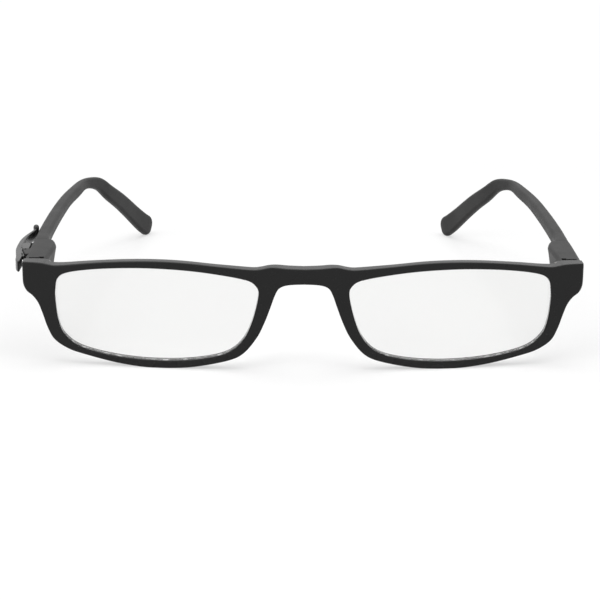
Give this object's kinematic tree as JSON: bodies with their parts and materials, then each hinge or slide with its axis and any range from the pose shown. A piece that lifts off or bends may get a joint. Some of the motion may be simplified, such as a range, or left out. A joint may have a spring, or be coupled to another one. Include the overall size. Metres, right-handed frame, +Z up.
{
  "type": "full-rim reading glasses",
  "caption": "Low, full-rim reading glasses with clear lenses, spring-hinged folding temples and a small sprung pocket clip on one temple.",
  "frame": {"origin": "on the table that the rims and ear tips rest on, under the middle of the bridge, level with the bridge's front face", "axes": "+X towards the wearer's left, +Y back along the temples, +Z up"},
  "size_m": [0.1433, 0.1368, 0.0275],
  "materials": {
    "frame_plastic": "satin black",
    "temple_plastic": "satin black",
    "lens_plastic": "clear, polished",
    "hinge_metal": "nickel silver",
    "screw_steel": "plain steel",
    "spring_steel": "drawn wire",
    "stop_brass": "turned",
    "clip_metal": "satin black"
  },
  "bodies": {
    "front": {"front_frame": "frame_plastic", "right_lens": "lens_plastic", "left_lens": "lens_plastic", "right_front_leaf": "hinge_metal", "left_front_leaf": "hinge_metal"},
    "right_screw": {"right_hinge_screw": "screw_steel"},
    "left_screw": {"left_hinge_screw": "screw_steel"},
    "right_slide": {"right_hinge_slide": "hinge_metal", "right_rod_cap": "stop_brass"},
    "left_slide": {"left_hinge_slide": "hinge_metal", "left_rod_cap": "stop_brass"},
    "right_arm": {"right_temple": "temple_plastic", "right_spring_box": "hinge_metal", "right_spring_stop": "stop_brass", "right_hinge_spring": "spring_steel", "clip_pin": "screw_steel", "clip_spring": "spring_steel"},
    "left_arm": {"left_temple": "temple_plastic", "left_spring_box": "hinge_metal", "left_spring_stop": "stop_brass", "left_hinge_spring": "spring_steel"},
    "clip": {"pocket_clip": "clip_metal"}
  },
  "joints": [
    {"name": "left_fold", "type": "hinge", "parent": "front", "child": "left_screw", "pos_m": [0.0648, 0.0127, 0.02215], "axis": [0, 0, 1], "range_deg": [0, 82]},
    {"name": "left_flex", "type": "hinge", "parent": "left_screw", "child": "left_slide", "pos_m": [0.0648, 0.0127, 0.02215], "axis": [0, 0, 1], "range_deg": [-10, 0], "stiffness_Nm_per_rad": 0.3, "springref_deg": 5.73},
    {"name": "left_slide_out", "type": "slide", "parent": "left_slide", "child": "left_arm", "axis": [0, 1, 0], "range_m": [0, 0.0009], "deforming": ["left_hinge_spring"]},
    {"name": "right_fold", "type": "hinge", "parent": "front", "child": "right_screw", "pos_m": [-0.0648, 0.0127, 0.02215], "axis": [0, 0, -1], "range_deg": [0, 76]},
    {"name": "right_flex", "type": "hinge", "parent": "right_screw", "child": "right_slide", "pos_m": [-0.0648, 0.0127, 0.02215], "axis": [0, 0, -1], "range_deg": [-10, 0], "stiffness_Nm_per_rad": 0.3, "springref_deg": 5.73},
    {"name": "right_slide_out", "type": "slide", "parent": "right_slide", "child": "right_arm", "axis": [0, 1, 0], "range_m": [0, 0.0009], "deforming": ["right_hinge_spring"]},
    {"name": "clip_pivot", "type": "hinge", "parent": "right_arm", "child": "clip", "pos_m": [-0.07065, 0.02, 0.0244], "axis": [0, 0, 1], "range_deg": [0, 3], "stiffness_Nm_per_rad": 0.1, "springref_deg": -5.73, "deforming": ["clip_spring"]}
  ],
  "couplings": [
    {"joint": "left_slide_out", "follows": "left_flex", "m_per_rad": -0.005},
    {"joint": "right_slide_out", "follows": "right_flex", "m_per_rad": -0.005}
  ]
}
